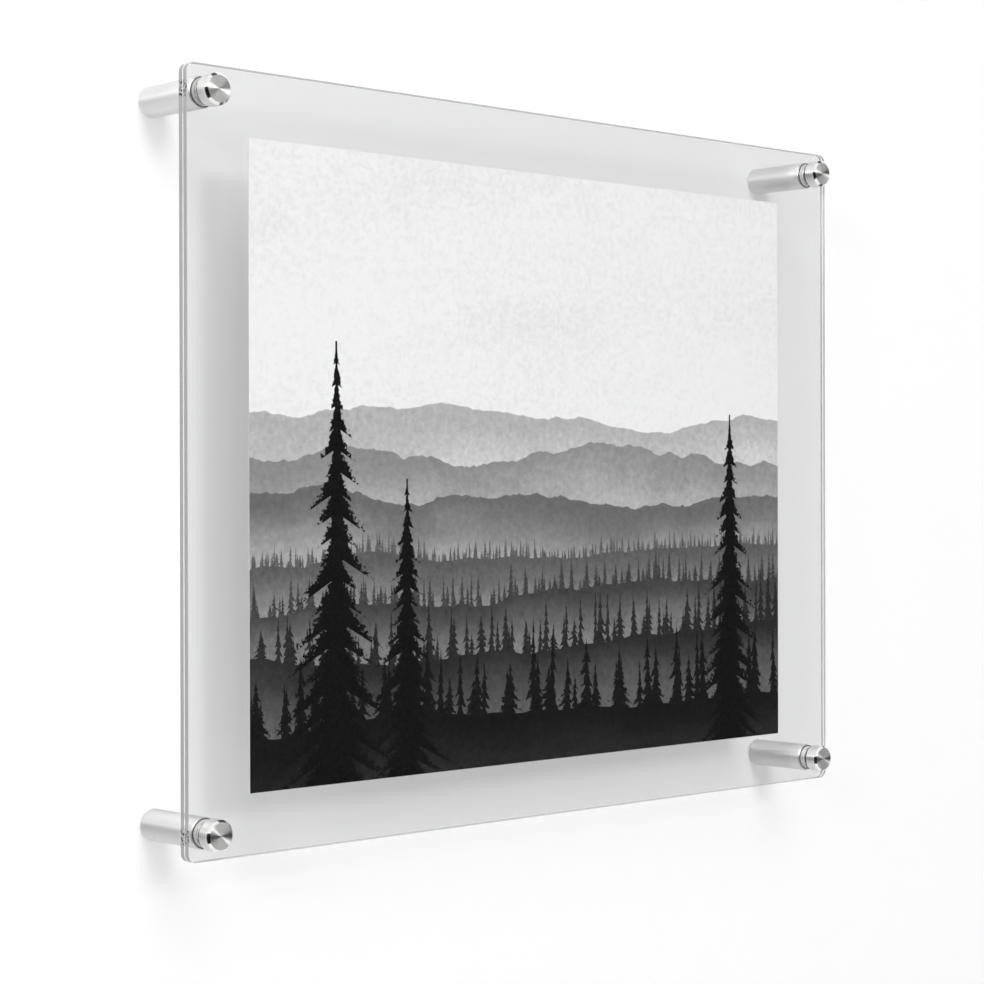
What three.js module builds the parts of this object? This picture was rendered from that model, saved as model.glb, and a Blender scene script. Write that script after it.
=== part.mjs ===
// Floating acrylic wall frame: a print pinched between two clear panels on four turned wall standoffs.
// Millimetres. X is right as seen from the front, +Y goes into the wall, Z is up.
// The origin is on the wall plane, at the centre of the four standoffs; the frame stands out along -Y.

import * as THREE from 'three';

// Print
const PRINT_WIDTH = 254;
const PRINT_HEIGHT = 203.2;
const PRINT_THICKNESS = 0.25;
// The print is laid in by hand, a little left of and below the panels' centre.
const PRINT_SHIFT_X = -1.7;
const PRINT_SHIFT_Z = -0.8;

// Acrylic panels
const PANEL_WIDTH = 306;
const PANEL_HEIGHT = 243;
const PANEL_THICKNESS = 1.8;
const PANEL_CORNER_RADIUS = 3;

// Standoffs: the axis sits this far in from the panels' side, top and bottom edges.
const STANDOFF_INSET = 8.2;
const STANDOFF_DIAMETER = 10;

// Barrel
const BARREL_LENGTH = 25.4;
const BARREL_EDGE_BREAK = 0.3;
const THREAD_LEAD_IN = 0.4;

// Cap
const CAP_LENGTH = 5;
const CAP_RIM_CHAMFER = 0.8;
const CAP_SEAT_CHAMFER = 0.25;
const CAP_FACE_WALL = 1.2;

// Thread shared by the barrels, the cap studs and the hanger screws
const THREAD_DIAMETER = 6;
const STUD_ENGAGEMENT = 7.5;
const STUD_TIP_CHAMFER = 0.8;

// Hanger screw
const SCREW_ENGAGEMENT = 8;
const WOOD_SHANK_DIAMETER = 5;
const WOOD_LENGTH = 25;
const WOOD_POINT_LENGTH = 6;
const WOOD_POINT_RADIUS = 0.4;
const SHOULDER_LENGTH = 1;

// Washers
const WASHER_THICKNESS = 0.4;
const WASHER_SETBACK = 0.3;

// Clearances
const FACE_GAP = 0.1;
const THREAD_CLEARANCE = 0.1;
const PANEL_HOLE_CLEARANCE = 0.4;
const WASHER_BORE_CLEARANCE = 0.2;
const CAP_BORE_RUNOUT = 0.5;

// Facets round a full turn, and the fineness of the panels' arcs
const RIM_FACETS = 40;
const THREAD_FACETS = 24;
const ARC_STEPS = 10;

const standoffRadius = STANDOFF_DIAMETER / 2;
const threadRadius = THREAD_DIAMETER / 2;
const tappedRadius = threadRadius + THREAD_CLEARANCE;
const panelHoleRadius = threadRadius + PANEL_HOLE_CLEARANCE;
const standoffX = PANEL_WIDTH / 2 - STANDOFF_INSET;
const standoffZ = PANEL_HEIGHT / 2 - STANDOFF_INSET;

// Distances out from the wall of each layer's rear face, in the order in which they are stacked.
const rearWasherOut = BARREL_LENGTH + FACE_GAP;
const backPanelOut = rearWasherOut + WASHER_THICKNESS + FACE_GAP;
const printOut = backPanelOut + PANEL_THICKNESS + FACE_GAP;
const frontPanelOut = printOut + PRINT_THICKNESS + FACE_GAP;
const frontWasherOut = frontPanelOut + PANEL_THICKNESS + FACE_GAP;
const capOut = frontWasherOut + WASHER_THICKNESS + FACE_GAP;

const capBoreDepth = CAP_LENGTH - CAP_FACE_WALL;
const studTipOut = BARREL_LENGTH - STUD_ENGAGEMENT;
const studHeadOut = capOut + capBoreDepth - CAP_BORE_RUNOUT;

const acrylic = { color: 0xf1f5f5, roughness: 0.04, metalness: 0, transparent: true, opacity: 0.2 };
const turnedAluminium = { color: 0xc9cac7, roughness: 0.28, metalness: 1 };
const satinAluminium = { color: 0xd2d3d0, roughness: 0.42, metalness: 1 };
const platedSteel = { color: 0xa9abac, roughness: 0.35, metalness: 1 };
const clearNylon = { color: 0xd9dcdb, roughness: 0.45, metalness: 0 };
const photoPaper = { color: 0x8c8c8c, roughness: 0.4, metalness: 0 };

function piece(name, geometry, look) {
  const mesh = new THREE.Mesh(geometry, new THREE.MeshStandardMaterial(look));
  mesh.name = name;
  return mesh;
}

// A turned solid about Y from [radius, distance out from the wall] points, wall side first.
function turned(profile, facets) {
  const points = profile.map(([radius, out]) => new THREE.Vector2(radius, -out));
  return new THREE.LatheGeometry(points.reverse(), facets);
}

function roundedRectangle(width, height, radius) {
  const x = width / 2 - radius;
  const z = height / 2 - radius;
  const outline = new THREE.Shape();
  outline.absarc(x, z, radius, 0, Math.PI / 2);
  outline.absarc(-x, z, radius, Math.PI / 2, Math.PI);
  outline.absarc(-x, -z, radius, Math.PI, 1.5 * Math.PI);
  outline.absarc(x, -z, radius, 1.5 * Math.PI, 2 * Math.PI);
  outline.closePath();
  return outline;
}

// The four standoffs, named by their corner as seen from the front.
const corners = [
  { corner: 'top_left', x: -standoffX, z: standoffZ },
  { corner: 'top_right', x: standoffX, z: standoffZ },
  { corner: 'bottom_left', x: -standoffX, z: -standoffZ },
  { corner: 'bottom_right', x: standoffX, z: -standoffZ },
];

function panelGeometry() {
  const outline = roundedRectangle(PANEL_WIDTH, PANEL_HEIGHT, PANEL_CORNER_RADIUS);
  for (const { x, z } of corners) {
    const hole = new THREE.Path();
    hole.absarc(x, z, panelHoleRadius, 0, 2 * Math.PI, true);
    outline.holes.push(hole);
  }
  const sheet = new THREE.ExtrudeGeometry(outline, {
    depth: PANEL_THICKNESS,
    bevelEnabled: false,
    curveSegments: ARC_STEPS,
  });
  // The sheet stands upright, its thickness growing out from the wall.
  return sheet.rotateX(Math.PI / 2);
}

function panel(name, out) {
  const mesh = piece(name, panelGeometry(), acrylic);
  mesh.position.y = -out;
  return mesh;
}

function printSheet() {
  const mesh = piece(
    'print_sheet',
    new THREE.BoxGeometry(PRINT_WIDTH, PRINT_THICKNESS, PRINT_HEIGHT),
    photoPaper,
  );
  mesh.position.set(PRINT_SHIFT_X, -(printOut + PRINT_THICKNESS / 2), PRINT_SHIFT_Z);
  return mesh;
}

// A threaded tube with its edges broken inside and out.
function barrelGeometry() {
  const wallEnd = 0;
  const frontEnd = BARREL_LENGTH;
  const leadRadius = tappedRadius + THREAD_LEAD_IN;
  const faceRadius = standoffRadius - BARREL_EDGE_BREAK;
  return turned([
    [tappedRadius, wallEnd + THREAD_LEAD_IN],
    [leadRadius, wallEnd],
    [faceRadius, wallEnd],
    [standoffRadius, wallEnd + BARREL_EDGE_BREAK],
    [standoffRadius, frontEnd - BARREL_EDGE_BREAK],
    [faceRadius, frontEnd],
    [leadRadius, frontEnd],
    [tappedRadius, frontEnd - THREAD_LEAD_IN],
    [tappedRadius, wallEnd + THREAD_LEAD_IN],
  ], RIM_FACETS);
}

// Machine thread in the barrel, then a shoulder down to the wood shank and its point in the wall.
function hangerScrewGeometry() {
  const woodRadius = WOOD_SHANK_DIAMETER / 2;
  const machineTip = SCREW_ENGAGEMENT;
  return turned([
    [0, -WOOD_LENGTH],
    [WOOD_POINT_RADIUS, -WOOD_LENGTH],
    [woodRadius, WOOD_POINT_LENGTH - WOOD_LENGTH],
    [woodRadius, -SHOULDER_LENGTH],
    [threadRadius, 0],
    [threadRadius, machineTip - STUD_TIP_CHAMFER],
    [threadRadius - STUD_TIP_CHAMFER, machineTip],
    [0, machineTip],
  ], THREAD_FACETS);
}

function washerGeometry(rearOut) {
  const bore = threadRadius + WASHER_BORE_CLEARANCE;
  const rim = standoffRadius - WASHER_SETBACK;
  return turned([
    [bore, rearOut],
    [rim, rearOut],
    [rim, rearOut + WASHER_THICKNESS],
    [bore, rearOut + WASHER_THICKNESS],
    [bore, rearOut],
  ], RIM_FACETS);
}

// A turned cap with a blind tapped hole in its seat for the stud.
function capGeometry() {
  const seat = capOut;
  const face = capOut + CAP_LENGTH;
  return turned([
    [0, seat + capBoreDepth],
    [tappedRadius, seat + capBoreDepth],
    [tappedRadius, seat + THREAD_LEAD_IN],
    [tappedRadius + THREAD_LEAD_IN, seat],
    [standoffRadius - CAP_SEAT_CHAMFER, seat],
    [standoffRadius, seat + CAP_SEAT_CHAMFER],
    [standoffRadius, face - CAP_RIM_CHAMFER],
    [standoffRadius - CAP_RIM_CHAMFER, face],
    [0, face],
  ], RIM_FACETS);
}

function studGeometry() {
  const endRadius = threadRadius - STUD_TIP_CHAMFER;
  return turned([
    [0, studTipOut],
    [endRadius, studTipOut],
    [threadRadius, studTipOut + STUD_TIP_CHAMFER],
    [threadRadius, studHeadOut - STUD_TIP_CHAMFER],
    [endRadius, studHeadOut],
    [0, studHeadOut],
  ], THREAD_FACETS);
}

function standoff({ corner, x, z }) {
  const group = new THREE.Group();
  group.position.set(x, 0, z);
  group.add(
    piece(`barrel_${corner}`, barrelGeometry(), satinAluminium),
    piece(`hanger_screw_${corner}`, hangerScrewGeometry(), platedSteel),
    piece(`rear_washer_${corner}`, washerGeometry(rearWasherOut), clearNylon),
    piece(`front_washer_${corner}`, washerGeometry(frontWasherOut), clearNylon),
    piece(`cap_${corner}`, capGeometry(), turnedAluminium),
    piece(`cap_stud_${corner}`, studGeometry(), platedSteel),
  );
  return group;
}

const floatingFrame = new THREE.Group();
floatingFrame.add(
  panel('back_panel', backPanelOut),
  printSheet(),
  panel('front_panel', frontPanelOut),
  ...corners.map(standoff),
);

export default floatingFrame;
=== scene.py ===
import math

import bmesh
import bpy
from mathutils import Matrix, Vector


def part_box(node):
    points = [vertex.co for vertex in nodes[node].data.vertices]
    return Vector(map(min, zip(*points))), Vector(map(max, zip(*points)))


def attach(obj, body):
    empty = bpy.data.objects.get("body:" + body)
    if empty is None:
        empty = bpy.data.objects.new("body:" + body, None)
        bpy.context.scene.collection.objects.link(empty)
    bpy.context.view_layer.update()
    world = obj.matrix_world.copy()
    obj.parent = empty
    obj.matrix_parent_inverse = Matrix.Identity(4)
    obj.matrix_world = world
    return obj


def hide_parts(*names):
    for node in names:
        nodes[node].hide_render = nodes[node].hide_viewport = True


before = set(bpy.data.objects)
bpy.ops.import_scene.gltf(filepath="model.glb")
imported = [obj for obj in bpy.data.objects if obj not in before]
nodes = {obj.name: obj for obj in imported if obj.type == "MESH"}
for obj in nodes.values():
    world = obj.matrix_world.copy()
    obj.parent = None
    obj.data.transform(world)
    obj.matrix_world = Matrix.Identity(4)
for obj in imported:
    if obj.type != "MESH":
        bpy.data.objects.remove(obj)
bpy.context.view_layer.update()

MM = 0.001
CORNERS = ("top_left", "top_right", "bottom_left", "bottom_right")

# A face whose normal has more than this along Y is part of a sheet's front or back.
FLAT_LEAN = 0.5


def centre_of(node):
    low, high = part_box(node)
    return (low + high) / 2


# The standoffs' axes run along Y, at the same distances left and right of, above and below the origin.
AXES = {corner: centre_of(f"cap_{corner}") for corner in CORNERS}
AXIS_X = abs(AXES["top_left"].x)
AXIS_Z = abs(AXES["top_left"].z)


def new_object(name, data):
    obj = bpy.data.objects.new(name, data)
    bpy.context.scene.collection.objects.link(obj)
    return obj


# Node graphs


class Graph:
    """A material's or world's node tree, with short ways to add and join nodes."""

    def __init__(self, tree):
        self.tree = tree
        tree.nodes.clear()

    def add(self, kind, inputs=None, **settings):
        node = self.tree.nodes.new("ShaderNode" + kind)
        for name, value in settings.items():
            setattr(node, name, value)
        for name, value in (inputs or {}).items():
            self.feed(node.inputs[name], value)
        return node

    def feed(self, socket, value):
        if isinstance(value, bpy.types.NodeSocket):
            self.tree.links.new(value, socket)
        else:
            socket.default_value = value

    def math(self, operation, *values, clamp=False):
        node = self.add("Math", operation=operation, use_clamp=clamp)
        for socket, value in zip(node.inputs, values):
            self.feed(socket, value)
        return node.outputs[0]

    # A Mix node has a pair of sockets for each kind of value: numbers are 2 and 3, colours 6 and 7.

    def blend(self, share, low, high):
        """A number: low where share is 0 and high where it is 1."""
        return self.add("Mix", {0: share, 2: low, 3: high}, data_type="FLOAT").outputs[0]

    def tint(self, share, low, high):
        """A colour: low where share is 0 and high where it is 1."""
        return self.add("Mix", {0: share, 6: low, 7: high}, data_type="RGBA").outputs[2]

    def ramp(self, value, low, high, low_to=0.0, high_to=1.0, smooth=False):
        node = self.add("MapRange", interpolation_type="SMOOTHSTEP" if smooth else "LINEAR")
        for socket, number in zip(node.inputs, (value, low, high, low_to, high_to)):
            self.feed(socket, number)
        return node.outputs[0]

    def wave(self, value, pitch):
        return self.math("SINE", self.math("MULTIPLY", value, 2 * math.pi / pitch))

    def noise(self, place, scale, detail=2.0, roughness=0.5, stretch=None):
        if stretch:
            place = self.add("Mapping", {"Vector": place, "Scale": stretch}).outputs[0]
        inputs = {"Vector": place, "Scale": scale, "Detail": detail, "Roughness": roughness}
        return self.add("TexNoise", inputs).outputs["Fac"]

    def bump(self, height, strength, distance):
        inputs = {"Height": height, "Strength": strength, "Distance": distance}
        return self.add("Bump", inputs).outputs[0]

    def place(self):
        return self.add("TexCoord").outputs["Object"]

    def split(self, vector):
        return self.add("SeparateXYZ", {0: vector}).outputs

    def seen_rays(self):
        """1 for a ray from the camera, or one that metal or acrylic passes on."""
        path = self.add("LightPath").outputs
        seen = self.math("MAXIMUM", path["Is Camera Ray"], path["Is Glossy Ray"])
        return self.math("MAXIMUM", seen, path["Is Transmission Ray"])

    def principled(self, inputs):
        return self.add("BsdfPrincipled", inputs).outputs[0]

    def mix_shaders(self, share, low, high):
        return self.add("MixShader", {0: share, 1: low, 2: high}).outputs[0]

    def finish(self, shader):
        self.add("OutputMaterial", {"Surface": shader})


def material(name):
    made = bpy.data.materials.new(name)
    made.use_nodes = True
    return made, Graph(made.node_tree)


def grey(value):
    return (value, value, value, 1.0)


# Acrylic

ACRYLIC_IOR = 1.49
SHEET_CLEARNESS = 0.99
EDGE_CLEARNESS = 0.1

# The dark flecks painted beside a standoff, a painted view of the hole and stud through the edge, are
# full up to the first distance above and below its axis, and end at the second.
FLECKS_FULL = 1.7 * MM
FLECKS_END = 3.0 * MM


def lets_light_by(g, shader, clearness):
    """The shader as it is seen, but clear to light that only falls through it on something else."""
    path = g.add("LightPath").outputs
    passing = g.math("MAXIMUM", path["Is Shadow Ray"], path["Is Diffuse Ray"])
    clear = g.add("BsdfTransparent", {"Color": grey(clearness)}).outputs[0]
    return g.mix_shaders(passing, shader, clear)


def acrylic_sheet():
    made, g = material("acrylic_sheet")
    place = g.place()
    ripple = g.noise(place, 18.0)
    smear = g.ramp(g.noise(place, 34.0, 4.0), 0.45, 0.75, 0.0, 0.012)
    sheet = g.principled({
        "Base Color": (0.988, 0.992, 0.99, 1.0),
        "Roughness": smear,
        "IOR": ACRYLIC_IOR,
        "Transmission Weight": 1.0,
        "Normal": g.bump(ripple, 0.05, 0.02 * MM),
    })
    g.finish(lets_light_by(g, sheet, SHEET_CLEARNESS))
    return made


def acrylic_edge():
    made, g = material("acrylic_edge")
    place = g.place()
    saw = g.noise(place, 900.0, stretch=(0.05, 1.0, 0.05))
    # Beside a standoff, dark flecks are painted into the edge's colour, a painted view of the hole and
    # the stud behind it.
    up = g.split(place)["Z"]
    off_centre = g.math("ABSOLUTE", g.math("SUBTRACT", g.math("ABSOLUTE", up), AXIS_Z))
    beside = g.ramp(off_centre, FLECKS_FULL, FLECKS_END, 1.0, 0.0, smooth=True)
    painted_stud_flecks = g.math("MULTIPLY", beside, g.ramp(g.noise(place, 1150.0, 1.0), 0.48, 0.56))
    pale = g.tint(saw, (0.86, 0.87, 0.87, 1.0), (0.94, 0.95, 0.95, 1.0))
    edge = g.principled({
        "Base Color": g.tint(painted_stud_flecks, pale, (0.015, 0.016, 0.016, 1.0)),
        "Roughness": g.ramp(saw, 0.3, 0.7, 0.03, 0.08),
        "IOR": ACRYLIC_IOR,
        "Transmission Weight": 0.5,
        "Normal": g.bump(saw, 0.1, 0.03 * MM),
    })
    g.finish(lets_light_by(g, edge, EDGE_CLEARNESS))
    return made


# Metal and nylon

FACE_GROOVE_PITCH = 0.42 * MM
SIDE_GROOVE_PITCH = 0.5 * MM
# Pitch of the darker bands painted round a cap's side, a painted reflection of its turning.
PAINTED_SIDE_BAND_PITCH = 1.0 * MM

# Further from a standoff's axis than this, a cap's surface is its side.
CAP_SIDE_RADIUS = 4.97 * MM

# A washer's colour is painted darker between these distances from its axis: painted shade for the dark
# rim that clear plastic shows from the side.
WASHER_PALE_RADIUS = 4.25 * MM
WASHER_DARK_RADIUS = 4.5 * MM

# Turned metal is brushed round the standoffs' axes.
QUARTER_TURN = 0.25


def off_axis(g, parts):
    """Distance from the nearest standoff's axis."""
    across = g.math("SUBTRACT", g.math("ABSOLUTE", parts["X"]), AXIS_X)
    along = g.math("SUBTRACT", g.math("ABSOLUTE", parts["Z"]), AXIS_Z)
    squares = g.math("ADD", g.math("MULTIPLY", across, across), g.math("MULTIPLY", along, along))
    return g.math("SQRT", squares)


def round_axis(g):
    return g.add("Tangent", direction_type="RADIAL", axis="Y").outputs[0]


def turned_aluminium():
    """Bright turned metal: fine grooves run round the axis on the side and the face, with darker bands
    painted round the side as a painted reflection of its turning.
    """
    made, g = material("turned_aluminium")
    place = g.place()
    parts = g.split(place)
    radius = off_axis(g, parts)
    depth = parts["Y"]
    grooves = g.math("ADD", g.wave(radius, FACE_GROOVE_PITCH), g.wave(depth, SIDE_GROOVE_PITCH))
    wear = g.noise(place, 500.0, 4.0)
    bright = g.tint(wear, (0.86, 0.86, 0.85, 1.0), (0.92, 0.92, 0.91, 1.0))
    # The cap's side gets alternate darker bands painted into its colour: painted reflection standing in
    # for the dark lines its turned surface shows.
    side = g.math("GREATER_THAN", radius, CAP_SIDE_RADIUS)
    cut = g.math("GREATER_THAN", g.wave(depth, PAINTED_SIDE_BAND_PITCH), 0.5)
    g.finish(g.principled({
        "Base Color": g.tint(g.math("MULTIPLY", side, cut), bright, (0.64, 0.64, 0.63, 1.0)),
        "Metallic": 1.0,
        "Roughness": g.ramp(wear, 0.3, 0.7, 0.39, 0.43),
        "Anisotropic": 0.95,
        "Anisotropic Rotation": QUARTER_TURN,
        "Normal": g.bump(grooves, 0.08, 0.006 * MM),
        "Tangent": round_axis(g),
    }))
    return made


def polished_aluminium():
    """The cap's rim, cut bright."""
    made, g = material("polished_aluminium")
    fine = g.noise(g.place(), 1400.0)
    g.finish(g.principled({
        "Base Color": g.tint(fine, (0.86, 0.86, 0.85, 1.0), (0.90, 0.90, 0.89, 1.0)),
        "Metallic": 1.0,
        "Roughness": g.ramp(fine, 0.3, 0.7, 0.08, 0.14),
        "Normal": g.bump(fine, 0.03, 0.004 * MM),
    }))
    return made


def satin_aluminium():
    """Satin turned metal, with fine rings along the barrel."""
    made, g = material("satin_aluminium")
    grain = g.noise(g.place(), 900.0, 3.0, stretch=(0.1, 1.0, 0.1))
    g.finish(g.principled({
        "Base Color": g.tint(grain, (0.74, 0.742, 0.738, 1.0), (0.79, 0.792, 0.788, 1.0)),
        "Metallic": 1.0,
        "Roughness": g.ramp(grain, 0.3, 0.7, 0.42, 0.46),
        "Anisotropic": 0.92,
        "Anisotropic Rotation": QUARTER_TURN,
        "Normal": g.bump(grain, 0.06, 0.008 * MM),
        "Tangent": round_axis(g),
    }))
    return made


def plated_steel():
    """Cloudy zinc plating on the threads."""
    made, g = material("plated_steel")
    place = g.place()
    cloud = g.noise(place, 420.0, 4.0)
    g.finish(g.principled({
        "Base Color": g.tint(cloud, (0.56, 0.57, 0.58, 1.0), (0.72, 0.72, 0.71, 1.0)),
        "Metallic": 1.0,
        "Roughness": g.ramp(cloud, 0.3, 0.7, 0.26, 0.42),
        "Normal": g.bump(g.noise(place, 2600.0), 0.1, 0.01 * MM),
    }))
    return made


def clear_nylon():
    """The washers: milky on the face, with painted shade turning the colour dark towards the rim,
    standing in for how clear plastic looks from the side.
    """
    made, g = material("clear_nylon")
    place = g.place()
    haze = g.noise(place, 800.0, 3.0)
    # Painted shade: the colour turns dark towards the rim, where clear plastic looks dark from the side.
    rim = g.ramp(off_axis(g, g.split(place)), WASHER_PALE_RADIUS, WASHER_DARK_RADIUS, smooth=True)
    milky = g.tint(haze, grey(0.96), grey(0.99))
    dark = g.tint(haze, grey(0.02), grey(0.05))
    g.finish(g.principled({
        "Base Color": g.tint(rim, milky, dark),
        "Roughness": g.blend(rim, 0.38, 0.16),
        "IOR": 1.53,
        "Normal": g.bump(haze, 0.1, 0.01 * MM),
    }))
    return made


# Print

# Darkest and lightest tones of the ink on the paper
INK_BLACK = 0.004
PAPER_WHITE = 0.97

# Middle of a noise texture's range
MID_NOISE = 0.5

PINE_TIERS = 7.0
TALL_PINE_TIERS = 23.0
TALL_PINE_TONE = 0.006


class Picture:
    """Tones of a monochrome landscape, laid from the sky forwards."""

    def __init__(self, g, place, across, up):
        self.g = g
        self.across = across
        self.up = up
        self.tone = None
        self.mist = g.noise(place, 16.0, 4.0, stretch=(0.7, 1.0, 2.4))
        self.texture = g.noise(place, 420.0, 6.0, 0.65)
        self.jagged = g.noise(place, 900.0, 4.0, 0.65)

    def line(self, base, swing, scale, seed, detail=6.0):
        """The height of a skyline or a strip of ground along the picture."""
        g = self.g
        flat = g.add("CombineXYZ", {"X": self.across}).outputs[0]
        inputs = {"W": seed, "Vector": flat, "Scale": scale, "Detail": detail, "Roughness": 0.55}
        wave = g.add("TexNoise", inputs, noise_dimensions="4D").outputs["Fac"]
        return g.math("MULTIPLY_ADD", g.math("SUBTRACT", wave, MID_NOISE), 2 * swing, base)

    def drift(self, height, reach):
        """A height that the mist shifts up and down."""
        g = self.g
        return g.math("MULTIPLY_ADD", g.math("SUBTRACT", self.mist, MID_NOISE), reach, height)

    def lay(self, mask, tone):
        self.tone = self.g.blend(mask, self.tone, tone)

    def ridge(self, base, swing, scale, seed, crest, foot, fade):
        """A range of hills, dark along its crest and lost in mist at its foot."""
        g = self.g
        under = g.math("SUBTRACT", self.line(base, swing, scale, seed), self.up)
        tone = g.blend(g.ramp(self.drift(under, 0.03), 0.0, fade, smooth=True), crest, foot)
        rough = g.ramp(self.texture, 0.25, 0.75, 0.84, 1.16)
        self.lay(g.ramp(under, 0.0, 0.3 * MM), g.math("MULTIPLY", tone, rough))

    def pine(self, side, climb, tiers, tone, number):
        """A pine: side is the distance from its trunk over its spread, climb the share of its height."""
        g = self.g
        aside = g.math("ABSOLUTE", side)
        taper = g.math("SUBTRACT", 1.0, climb)
        level = g.math("MULTIPLY", g.math("MULTIPLY_ADD", aside, 0.10, climb), tiers)
        # Each branch of each pine, left and right, has its own length.
        luck_at = g.add("CombineXYZ", {"X": number}).outputs[0]
        branch = g.math("MULTIPLY_ADD", g.math("SIGN", side), 0.25, g.math("FLOOR", level))
        inputs = {"Vector": luck_at, "W": branch}
        luck = g.add("TexWhiteNoise", inputs, noise_dimensions="4D").outputs["Value"]
        reach = g.math("MULTIPLY", taper, g.ramp(g.math("FRACT", level), 0.0, 1.0, 1.0, 0.36))
        reach = g.math("MULTIPLY", reach, g.ramp(luck, 0.0, 1.0, 0.55, 1.15))
        reach = g.math("MULTIPLY", reach, g.ramp(self.jagged, 0.3, 0.7, 0.5, 1.3))
        trunk = g.math("MULTIPLY", g.math("GREATER_THAN", taper, 0.0), 0.014)
        inside = g.math("GREATER_THAN", g.math("MAXIMUM", reach, trunk), aside)
        mask = g.math("MULTIPLY", inside, g.math("GREATER_THAN", climb, 0.0))
        self.lay(mask, g.math("MULTIPLY", g.ramp(self.jagged, 0.3, 0.75, 0.55, 1.6), tone))

    def wood(self, cell, base, swing, seed, short, tall, tip, foot, fade):
        """A wooded slope: three sets of pines along its crest, then down into the mist."""
        g = self.g
        ground = self.line(base, swing, 8.0, seed, 5.0)
        above = g.math("SUBTRACT", self.up, ground)
        for turn, width in enumerate((1.0, 0.77, 1.31)):
            steps = g.math("MULTIPLY_ADD", self.across, 1 / (cell * width), seed + 0.37 * turn)
            number = g.math("ADD", g.math("FLOOR", steps), seed + 97.3 * turn)
            luck = g.add("TexWhiteNoise", {"W": number}, noise_dimensions="1D").outputs["Color"]
            chance = g.add("SeparateColor", {0: luck}).outputs
            height = g.ramp(g.math("POWER", chance[0], 1.4), 0.0, 1.0, short, tall)
            lean = g.ramp(chance[1], 0.0, 1.0, 0.4, 0.6)
            aside = g.math("DIVIDE", g.math("SUBTRACT", g.math("FRACT", steps), lean), 0.42)
            climb = g.math("DIVIDE", g.math("ADD", above, 0.25 * short), height)
            self.pine(aside, climb, PINE_TIERS, tip, number)
        tone = g.blend(g.ramp(self.drift(above, 0.02), -fade, 0.0, smooth=True), foot, tip)
        shade = g.ramp(self.texture, 0.25, 0.75, 0.75, 1.25)
        self.lay(g.math("LESS_THAN", above, 0.0), g.math("MULTIPLY", shade, tone))


def picture(g, place):
    """The tone at each place of the print, in metres from its middle."""
    parts = g.split(place)
    low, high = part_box("print_sheet")
    middle = centre_of("print_sheet")
    across = g.math("SUBTRACT", parts["X"], middle.x)
    up = g.math("SUBTRACT", parts["Z"], middle.z)
    view = Picture(g, place, across, up)

    cloud = g.noise(place, 9.0, 5.0, stretch=(1.0, 1.0, 3.2))
    sky = g.ramp(up, 0.0, (high.z - low.z) / 2, 0.97, 0.93)
    view.tone = g.math("ADD", sky, g.ramp(cloud, 0.3, 0.7, -0.04, 0.04))

    # base, swing, waves per metre, seed, tone at the crest, tone in the mist, depth of the fade
    view.ridge(0.018, 0.020, 11.0, 3.1, 0.50, 0.74, 0.030)
    view.ridge(0.004, 0.022, 14.0, 8.7, 0.29, 0.58, 0.030)
    view.ridge(-0.010, 0.018, 17.0, 15.2, 0.16, 0.44, 0.026)

    # cell, base, swing, seed, least and most height, tone at the tips and in the mist, depth of the fade
    view.wood(0.0036, -0.030, 0.014, 31.4, 0.0028, 0.0080, 0.115, 0.33, 0.022)
    view.wood(0.0056, -0.044, 0.016, 44.8, 0.0050, 0.0135, 0.060, 0.24, 0.022)
    view.wood(0.0088, -0.061, 0.016, 57.3, 0.0090, 0.0220, 0.026, 0.13, 0.024)
    view.wood(0.0140, -0.083, 0.014, 70.6, 0.0150, 0.0360, 0.009, 0.03, 0.030)

    # Tall pines in front, rooted below the picture: place across, foot, height, spread
    tall_pines = (
        (-0.092, -0.118, 0.158, 0.0290),
        (-0.062, -0.120, 0.116, 0.0240),
        (0.099, -0.118, 0.138, 0.0270),
    )
    for number, (x, foot, height, spread) in enumerate(tall_pines):
        aside = g.math("DIVIDE", g.math("SUBTRACT", across, x), spread)
        climb = g.math("DIVIDE", g.math("SUBTRACT", up, foot), height)
        view.pine(aside, climb, TALL_PINE_TIERS, TALL_PINE_TONE, number + 500.5)

    grain = g.noise(place, 620.0, 4.0, 0.75)
    speck = g.ramp(grain, 0.25, 0.75, -0.14, 0.14)
    tone = g.math("MULTIPLY_ADD", speck, g.math("MULTIPLY_ADD", view.tone, 0.9, 0.02), view.tone)
    return g.math("MAXIMUM", g.math("MINIMUM", tone, PAPER_WHITE), INK_BLACK)


def print_paper():
    """Matt photo paper, with the picture on its front."""
    made, g = material("print_paper")
    place = g.place()
    tone = picture(g, place)
    fibre = g.noise(place, 600.0, 4.0)
    normal = g.add("NewGeometry").outputs["True Normal"]
    front = g.math("LESS_THAN", g.split(normal)["Y"], -FLAT_LEAN)
    inked = g.add("CombineColor", {0: tone, 1: tone, 2: tone}).outputs[0]
    paper = g.tint(fibre, (0.86, 0.86, 0.85, 1.0), (0.92, 0.92, 0.91, 1.0))
    g.finish(g.principled({
        "Base Color": g.tint(front, paper, inked),
        "Roughness": g.ramp(fibre, 0.3, 0.7, 0.48, 0.6),
        "Specular IOR Level": 0.05,
        "Normal": g.bump(fibre, 0.06, 0.02 * MM),
    }))
    return made


# Modifiers

WELD_REACH = 0.002 * MM
FLAT_WITHIN = math.radians(0.5)
BREAK_OVER = math.radians(25)
SHARP_OVER = math.radians(30)
BREAK_SEGMENTS = 2


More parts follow.
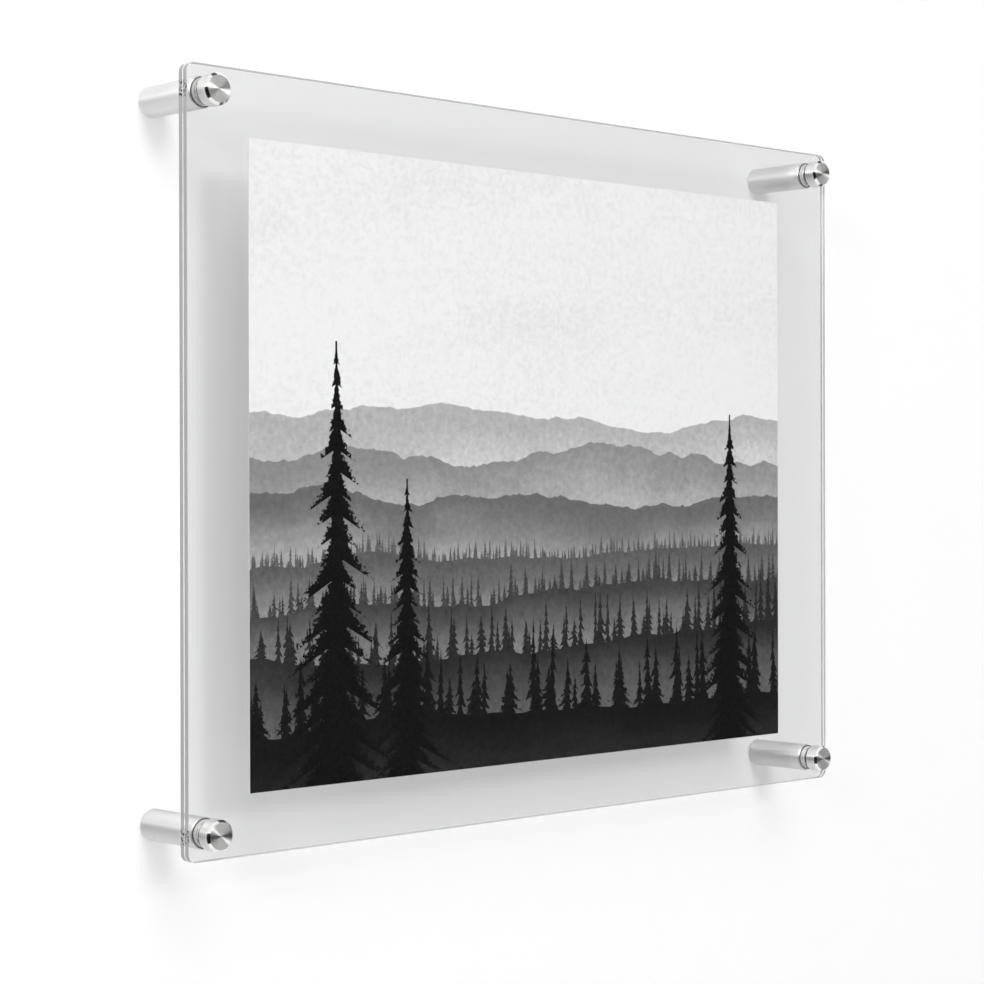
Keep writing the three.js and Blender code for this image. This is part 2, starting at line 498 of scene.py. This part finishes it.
def crisp_group():
    """Smooth shading, with sharp edges kept crisp."""
    tree = bpy.data.node_groups.new("crisp", "GeometryNodeTree")
    tree.interface.new_socket("Geometry", in_out="INPUT", socket_type="NodeSocketGeometry")
    tree.interface.new_socket("Geometry", in_out="OUTPUT", socket_type="NodeSocketGeometry")
    start = tree.nodes.new("NodeGroupInput")
    end = tree.nodes.new("NodeGroupOutput")
    plain = tree.nodes.new("GeometryNodeRemoveAttribute")
    plain.inputs["Name"].default_value = "custom_normal"
    faces = tree.nodes.new("GeometryNodeSetShadeSmooth")
    edges = tree.nodes.new("GeometryNodeSetShadeSmooth")
    edges.domain = "EDGE"
    edges.inputs["Shade Smooth"].default_value = False
    angle = tree.nodes.new("GeometryNodeInputMeshEdgeAngle")
    sharp = tree.nodes.new("FunctionNodeCompare")
    sharp.operation = "GREATER_THAN"
    sharp.inputs["B"].default_value = SHARP_OVER
    tree.links.new(angle.outputs["Unsigned Angle"], sharp.inputs["A"])
    tree.links.new(sharp.outputs[0], edges.inputs["Selection"])
    last = start.outputs[0]
    for node in (plain, faces, edges):
        tree.links.new(last, node.inputs["Geometry"])
        last = node.outputs[0]
    tree.links.new(last, end.inputs[0])
    return tree


CRISP = crisp_group()


def crisp(obj):
    modifier = obj.modifiers.new("crisp", "NODES")
    modifier.node_group = CRISP
    even = obj.modifiers.new("even", "WEIGHTED_NORMAL")
    even.keep_sharp = True
    even.weight = 100


def dress(node, look, edge_break=0.0):
    """Joins a CAD node's facets, breaks its sharp edges and gives it its look."""
    obj = nodes[node]
    obj.data.materials.clear()
    obj.data.materials.append(look)
    weld = obj.modifiers.new("weld", "WELD")
    weld.merge_threshold = WELD_REACH
    flat = obj.modifiers.new("flat", "DECIMATE")
    flat.decimate_type = "DISSOLVE"
    flat.angle_limit = FLAT_WITHIN
    if edge_break:
        edges = obj.modifiers.new("edges", "BEVEL")
        edges.width = edge_break
        edges.segments = BREAK_SEGMENTS
        edges.limit_method = "ANGLE"
        edges.angle_limit = BREAK_OVER
    crisp(obj)
    return obj


# Threaded pieces, in millimetres

THREAD_RADIUS = 3.0
THREAD_PITCH = 1.0
THREAD_DEPTH = 0.52
TIP_CHAMFER = 0.8

# Shares of a machine thread's half pitch: its flat crest, and its flank down to the root
CREST_FLAT = 0.1
FLANK = 0.75

WOOD_RADIUS = 2.5
WOOD_CORE = 1.75
WOOD_PITCH = 2.2
WOOD_POINT = 6.0
WOOD_RUN_OUT = 4.0
SHOULDER = 1.0

# The wood thread's crest reaches this share of the pitch to each side, and its tip has this share
# of the full radius.
WOOD_CREST = 0.2
TIP_SHARE = 0.16

# Rings along a threaded piece, and facets round it
RING_STEP = 0.125
FACETS = 36


def turn_share(out, angle, pitch):
    """How far through its pitch a right-hand thread is, from 0 to 1."""
    return (out / pitch - angle / (2 * math.pi)) % 1.0


def machine_thread(out, angle):
    """Radius of the machine thread, from its flat crest down its flank to the root."""
    from_crest = 1 - abs(turn_share(out, angle, THREAD_PITCH) - 0.5) * 2
    depth = min(1.0, max(0.0, (from_crest - CREST_FLAT) / FLANK))
    return THREAD_RADIUS - THREAD_DEPTH * depth


def wood_thread(out, angle, tip):
    """Radius of the wood thread, which runs out at the shoulder and tapers to its tip."""
    slim = TIP_SHARE + (1 - TIP_SHARE) * min(1.0, (out - tip) / WOOD_POINT)
    crest = max(0.0, 1 - abs(turn_share(out, angle, WOOD_PITCH) - 0.5) / WOOD_CREST)
    cut = min(1.0, (-SHOULDER - out) / WOOD_RUN_OUT)
    core = WOOD_RADIUS + (WOOD_CORE - WOOD_RADIUS) * cut
    return slim * (core + (WOOD_RADIUS - core) * crest)


def threaded(name, start, end, radius_at):
    """A closed rod about Y from start to end, whose radius depends on the distance out and the angle."""
    count = round((end - start) / RING_STEP)
    bm = bmesh.new()
    rows = []
    for ring in range(count + 1):
        out = start + (end - start) * ring / count
        row = []
        for k in range(FACETS):
            angle = 2 * math.pi * k / FACETS
            radius = radius_at(out, angle)
            x = radius * math.cos(angle) * MM
            z = radius * math.sin(angle) * MM
            row.append(bm.verts.new((x, -out * MM, z)))
        rows.append(row)
    for first, second in zip(rows, rows[1:]):
        for k in range(FACETS):
            n = (k + 1) % FACETS
            bm.faces.new((first[k], first[n], second[n], second[k]))
    bm.faces.new(rows[0])
    bm.faces.new(rows[-1])
    bmesh.ops.recalc_face_normals(bm, faces=bm.faces)
    mesh = bpy.data.meshes.new(name)
    bm.to_mesh(mesh)
    bm.free()
    return new_object(name, mesh)


def out_range(node):
    """A node's least and greatest distance out from the wall."""
    low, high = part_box(node)
    return -high.y / MM, -low.y / MM


def settle(obj, node, body, corner, look):
    """Puts a threaded piece on its standoff's axis, in place of its CAD node."""
    obj.location = (AXES[corner].x, 0.0, AXES[corner].z)
    obj.data.materials.append(look)
    crisp(obj)
    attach(obj, body)
    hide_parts(node)


def stud(corner, look):
    node = f"cap_stud_{corner}"
    start, end = out_range(node)

    def radius_at(out, angle):
        chamfer = THREAD_RADIUS - TIP_CHAMFER + min(out - start, end - out)
        return min(chamfer, machine_thread(out, angle))

    obj = threaded(f"stud_thread_{corner}", start, end, radius_at)
    settle(obj, node, f"cap_{corner}", corner, look)


def hanger_screw(corner, look):
    """Machine thread out of the wall, then a shoulder and a wood thread inside it."""
    node = f"hanger_screw_{corner}"
    start, end = out_range(node)

    def radius_at(out, angle):
        if out >= 0:
            chamfer = THREAD_RADIUS - TIP_CHAMFER + end - out
            return min(chamfer, machine_thread(out, angle))
        if out > -SHOULDER:
            return THREAD_RADIUS + (WOOD_RADIUS - THREAD_RADIUS) * (-out / SHOULDER)
        return wood_thread(out, angle, start)

    obj = threaded(f"screw_thread_{corner}", start, end, radius_at)
    settle(obj, node, "wall_standoffs", corner, look)


# The object's looks

PANEL_BREAK = 0.12 * MM
CAP_BREAK = 0.06 * MM
BARREL_BREAK = 0.08 * MM
WASHER_BREAK = 0.04 * MM

# A panel's face nearer to an axis than this is the wall of a hole.
HOLE_REACH = 4.0 * MM

# A cap's rim lies further from the axis than this, and leans forwards by about half a right angle.
RIM_RADIUS = 4.0 * MM
RIM_LEAN = (-0.9, -0.4)

sheet_look = acrylic_sheet()
edge_look = acrylic_edge()
turned_look = turned_aluminium()
satin_look = satin_aluminium()
steel_look = plated_steel()
nylon_look = clear_nylon()
rim_look = polished_aluminium()

for name in ("front_panel", "back_panel"):
    panel = dress(name, sheet_look, PANEL_BREAK)
    panel.data.materials.append(edge_look)
    for face in panel.data.polygons:
        off = math.hypot(abs(face.center.x) - AXIS_X, abs(face.center.z) - AXIS_Z)
        is_clear = abs(face.normal.y) > FLAT_LEAN or off < HOLE_REACH
        face.material_index = 0 if is_clear else 1
    panel.modifiers["edges"].material = 1

dress("print_sheet", print_paper())

for corner in CORNERS:
    cap = dress(f"cap_{corner}", turned_look, CAP_BREAK)
    cap.data.materials.append(rim_look)
    for face in cap.data.polygons:
        off = math.hypot(face.center.x - AXES[corner].x, face.center.z - AXES[corner].z)
        on_rim = RIM_LEAN[0] < face.normal.y < RIM_LEAN[1] and off > RIM_RADIUS
        face.material_index = 1 if on_rim else 0
    dress(f"barrel_{corner}", satin_look, BARREL_BREAK)
    dress(f"front_washer_{corner}", nylon_look, WASHER_BREAK)
    dress(f"rear_washer_{corner}", nylon_look, WASHER_BREAK)
    stud(corner, steel_look)
    hanger_screw(corner, steel_look)

# Stage

WALL_Y = 0.0003
WALL_HALF = 0.62
WALL_TOP = 0.62
FLOOR_Z = -0.85
FLOOR_HALF = 4.0


def stage_mesh(name, points, faces, look):
    mesh = bpy.data.meshes.new(name)
    mesh.from_pydata(points, [], faces)
    mesh.materials.append(look)
    obj = new_object(name, mesh)
    return obj


def stage_plane(name, corners, look):
    return stage_mesh(name, corners, [range(len(corners))], look)


def level_plane(name, x0, x1, y0, y1, z, look):
    return stage_plane(name, [(x0, y0, z), (x1, y0, z), (x1, y1, z), (x0, y1, z)], look)


def white_paint(name, colour, lift, one_sided=False, painted_mirror_glow=None):
    """Matt white paint, lifted a little for what the camera sees so that it reads white.

    The last argument is a painted reflection: glow added only where metal mirrors the paint, ramping
    from its first value at the bottom standoffs to its second at the top, so the upper barrels mirror
    lighter paint than the lower ones.
    """
    made, g = material(name)
    mottle = g.noise(g.place(), 40.0, 3.0)
    shade = g.tint(mottle, grey(colour - 0.004), grey(colour + 0.004))
    paint = g.add("BsdfDiffuse", {"Color": shade}).outputs[0]
    strength = g.math("MULTIPLY", g.seen_rays(), lift)
    # Painted reflection: glow added by height, seen only where metal mirrors the paint.
    if painted_mirror_glow:
        height = g.split(g.place())["Z"]
        path = g.add("LightPath").outputs
        share = g.math("SUBTRACT", path["Is Glossy Ray"], path["Is Transmission Ray"], clamp=True)
        strength = g.math("MULTIPLY_ADD", share, g.ramp(height, -AXIS_Z, AXIS_Z, *painted_mirror_glow), strength)
    glow = g.add("Emission", {"Color": grey(1.0), "Strength": strength}).outputs[0]
    shader = g.add("AddShader", {0: paint, 1: glow}).outputs[0]
    if one_sided:
        behind = g.add("NewGeometry").outputs["Backfacing"]
        shader = g.mix_shaders(behind, shader, g.add("BsdfTransparent").outputs[0])
    g.finish(shader)
    return made


# The wall's glow in metal's reflections is painted darker below and lighter above.
wall_paint = white_paint("wall_paint", colour=0.67, lift=0.335, one_sided=True, painted_mirror_glow=(-0.1, 0.2))
wall = stage_plane("wall", [
    (-WALL_HALF, WALL_Y, FLOOR_Z),
    (WALL_HALF, WALL_Y, FLOOR_Z),
    (WALL_HALF, WALL_Y, WALL_TOP),
    (-WALL_HALF, WALL_Y, WALL_TOP),
], wall_paint)
wall.visible_shadow = False

floor_paint = white_paint("floor_paint", colour=0.7, lift=0.35)
level_plane("floor", -FLOOR_HALF, FLOOR_HALF, -FLOOR_HALF, FLOOR_HALF, FLOOR_Z, floor_paint)

# Dark cloths that only show where metal or acrylic mirrors them

DRAPE_STEPS = 32
BLACK = 0.016
MID_GREY = 0.14
RUG_Z = FLOOR_Z + 0.004
MAT_Z = FLOOR_Z + 0.006


def dark_cloth(name, shade, fade=None):
    """Dark cloth, met only by rays that metal or acrylic turns back towards it.

    fade is the distances from the origin between which the cloth thickens.
    """
    made, g = material(name)
    place = g.place()
    folds = g.noise(place, 6.0, 3.0)
    tone = g.tint(folds, grey(0.75 * shade), grey(1.25 * shade))
    cloth = g.add("BsdfDiffuse", {"Color": tone}).outputs[0]
    open_air = g.add("BsdfTransparent").outputs[0]
    share = g.math("GREATER_THAN", g.add("LightPath").outputs["Glossy Depth"], 0.5)
    if fade:
        away = g.add("VectorMath", {0: place}, operation="LENGTH").outputs["Value"]
        share = g.math("MULTIPLY", share, g.ramp(away, *fade, smooth=True))
    g.finish(g.mix_shaders(share, open_air, cloth))
    return made


def seen_in_mirrors(obj):
    obj.visible_camera = False
    obj.visible_diffuse = False
    obj.visible_shadow = False


def drape(name, cloth, radius, start, end, low, high):
    """A curved band of cloth round the front, from start to end degrees right of straight ahead."""
    points = []
    for k in range(DRAPE_STEPS + 1):
        angle = math.radians(start + (end - start) * k / DRAPE_STEPS)
        x = radius * math.sin(angle)
        y = -radius * math.cos(angle)
        points += [(x, y, low), (x, y, high)]
    faces = [(2 * k, 2 * k + 2, 2 * k + 3, 2 * k + 1) for k in range(DRAPE_STEPS)]
    seen_in_mirrors(stage_mesh(name, points, faces, cloth))


def dark_patch(name, cloth, x0, x1, y0, y1, z):
    """A level patch of cloth, over the frame or on the floor."""
    seen_in_mirrors(level_plane(name, x0, x1, y0, y1, z, cloth))


black_cloth = dark_cloth("drape_cloth", BLACK)
drape("drape", black_cloth, radius=3.6, start=-90, end=90, low=-0.84, high=0.86)
drape("flag", black_cloth, radius=1.0, start=-64, end=-20, low=-0.84, high=0.06)
drape("wing", black_cloth, radius=1.3, start=80, end=98, low=0.5, high=2.2)

grey_cloth = dark_cloth("grey_cloth", MID_GREY)
dark_patch("canopy", grey_cloth, x0=-0.1, x1=1.7, y0=-0.6, y1=0.6, z=1.9)
dark_patch("mat", grey_cloth, x0=0.68, x1=1.5, y0=-0.5, y1=-0.002, z=MAT_Z)

rug_cloth = dark_cloth("rug_cloth", BLACK, fade=(1.7, 3.4))
dark_patch("rug", rug_cloth, -FLOOR_HALF, FLOOR_HALF, -FLOOR_HALF, FLOOR_HALF, RUG_Z)

# Light

AMBIENT = 0.48

world = bpy.data.worlds.new("studio")
bpy.context.scene.world = world
world.use_nodes = True
air = Graph(world.node_tree)
glow_level = air.blend(air.seen_rays(), AMBIENT, 1.0)
background = air.add("Background", {"Color": grey(1.0), "Strength": glow_level})
air.add("OutputWorld", {"Surface": background.outputs[0]})


def softbox(name, toward, distance, size, power):
    """A square lamp in a direction from the origin, facing it."""
    light = bpy.data.lights.new(name, "AREA")
    light.shape = "SQUARE"
    light.size = size
    light.energy = power
    obj = new_object(name, light)
    obj.location = Vector(toward).normalized() * distance
    obj.rotation_mode = "QUATERNION"
    obj.rotation_quaternion = Vector(toward).to_track_quat("Z", "Y")
    return obj


softbox("key", toward=(-0.10, -0.94, 0.32), distance=3.4, size=0.65, power=27.0)
fill = softbox("fill", toward=(-0.30, -0.70, 0.65), distance=4.0, size=2.0, power=48.0)
fill.visible_glossy = False
softbox("side", toward=(-0.85, -0.45, 0.28), distance=4.0, size=0.75, power=20.0)

# No other lamp reaches the print's back, so it has one of its own, which lights nothing else.
lit_from_behind = bpy.data.collections.new("lit_from_behind")
lit_from_behind.objects.link(nodes["print_sheet"])
rear = softbox("rear", toward=(0.35, 0.75, 0.55), distance=3.0, size=1.2, power=65.0)
rear.data.cycles.max_bounces = 3
rear.light_linking.receiver_collection = lit_from_behind

# Camera, from the vanishing lines of the panels and the print

YAW = math.radians(43.37)
PITCH = math.radians(0.17)
ROLL = math.radians(-0.13)
CAMERA_AT = (-0.57617, -0.61203, -0.00695)
LENS = 86.37
SENSOR_WIDTH = 36.0

lens = bpy.data.cameras.new("camera")
lens.sensor_fit = "HORIZONTAL"
lens.sensor_width = SENSOR_WIDTH
lens.lens = LENS
camera = new_object("camera", lens)
forward = Vector((math.sin(YAW) * math.cos(PITCH), math.cos(YAW) * math.cos(PITCH), -math.sin(PITCH)))
level_right = Vector((math.cos(YAW), -math.sin(YAW), 0.0))
level_up = level_right.cross(forward)
right = math.cos(ROLL) * level_right + math.sin(ROLL) * level_up
up = right.cross(forward)
facing = Matrix((right, up, -forward)).transposed().to_4x4()
camera.matrix_world = Matrix.Translation(CAMERA_AT) @ facing
bpy.context.scene.camera = camera
bpy.context.scene.view_settings.view_transform = "Standard"
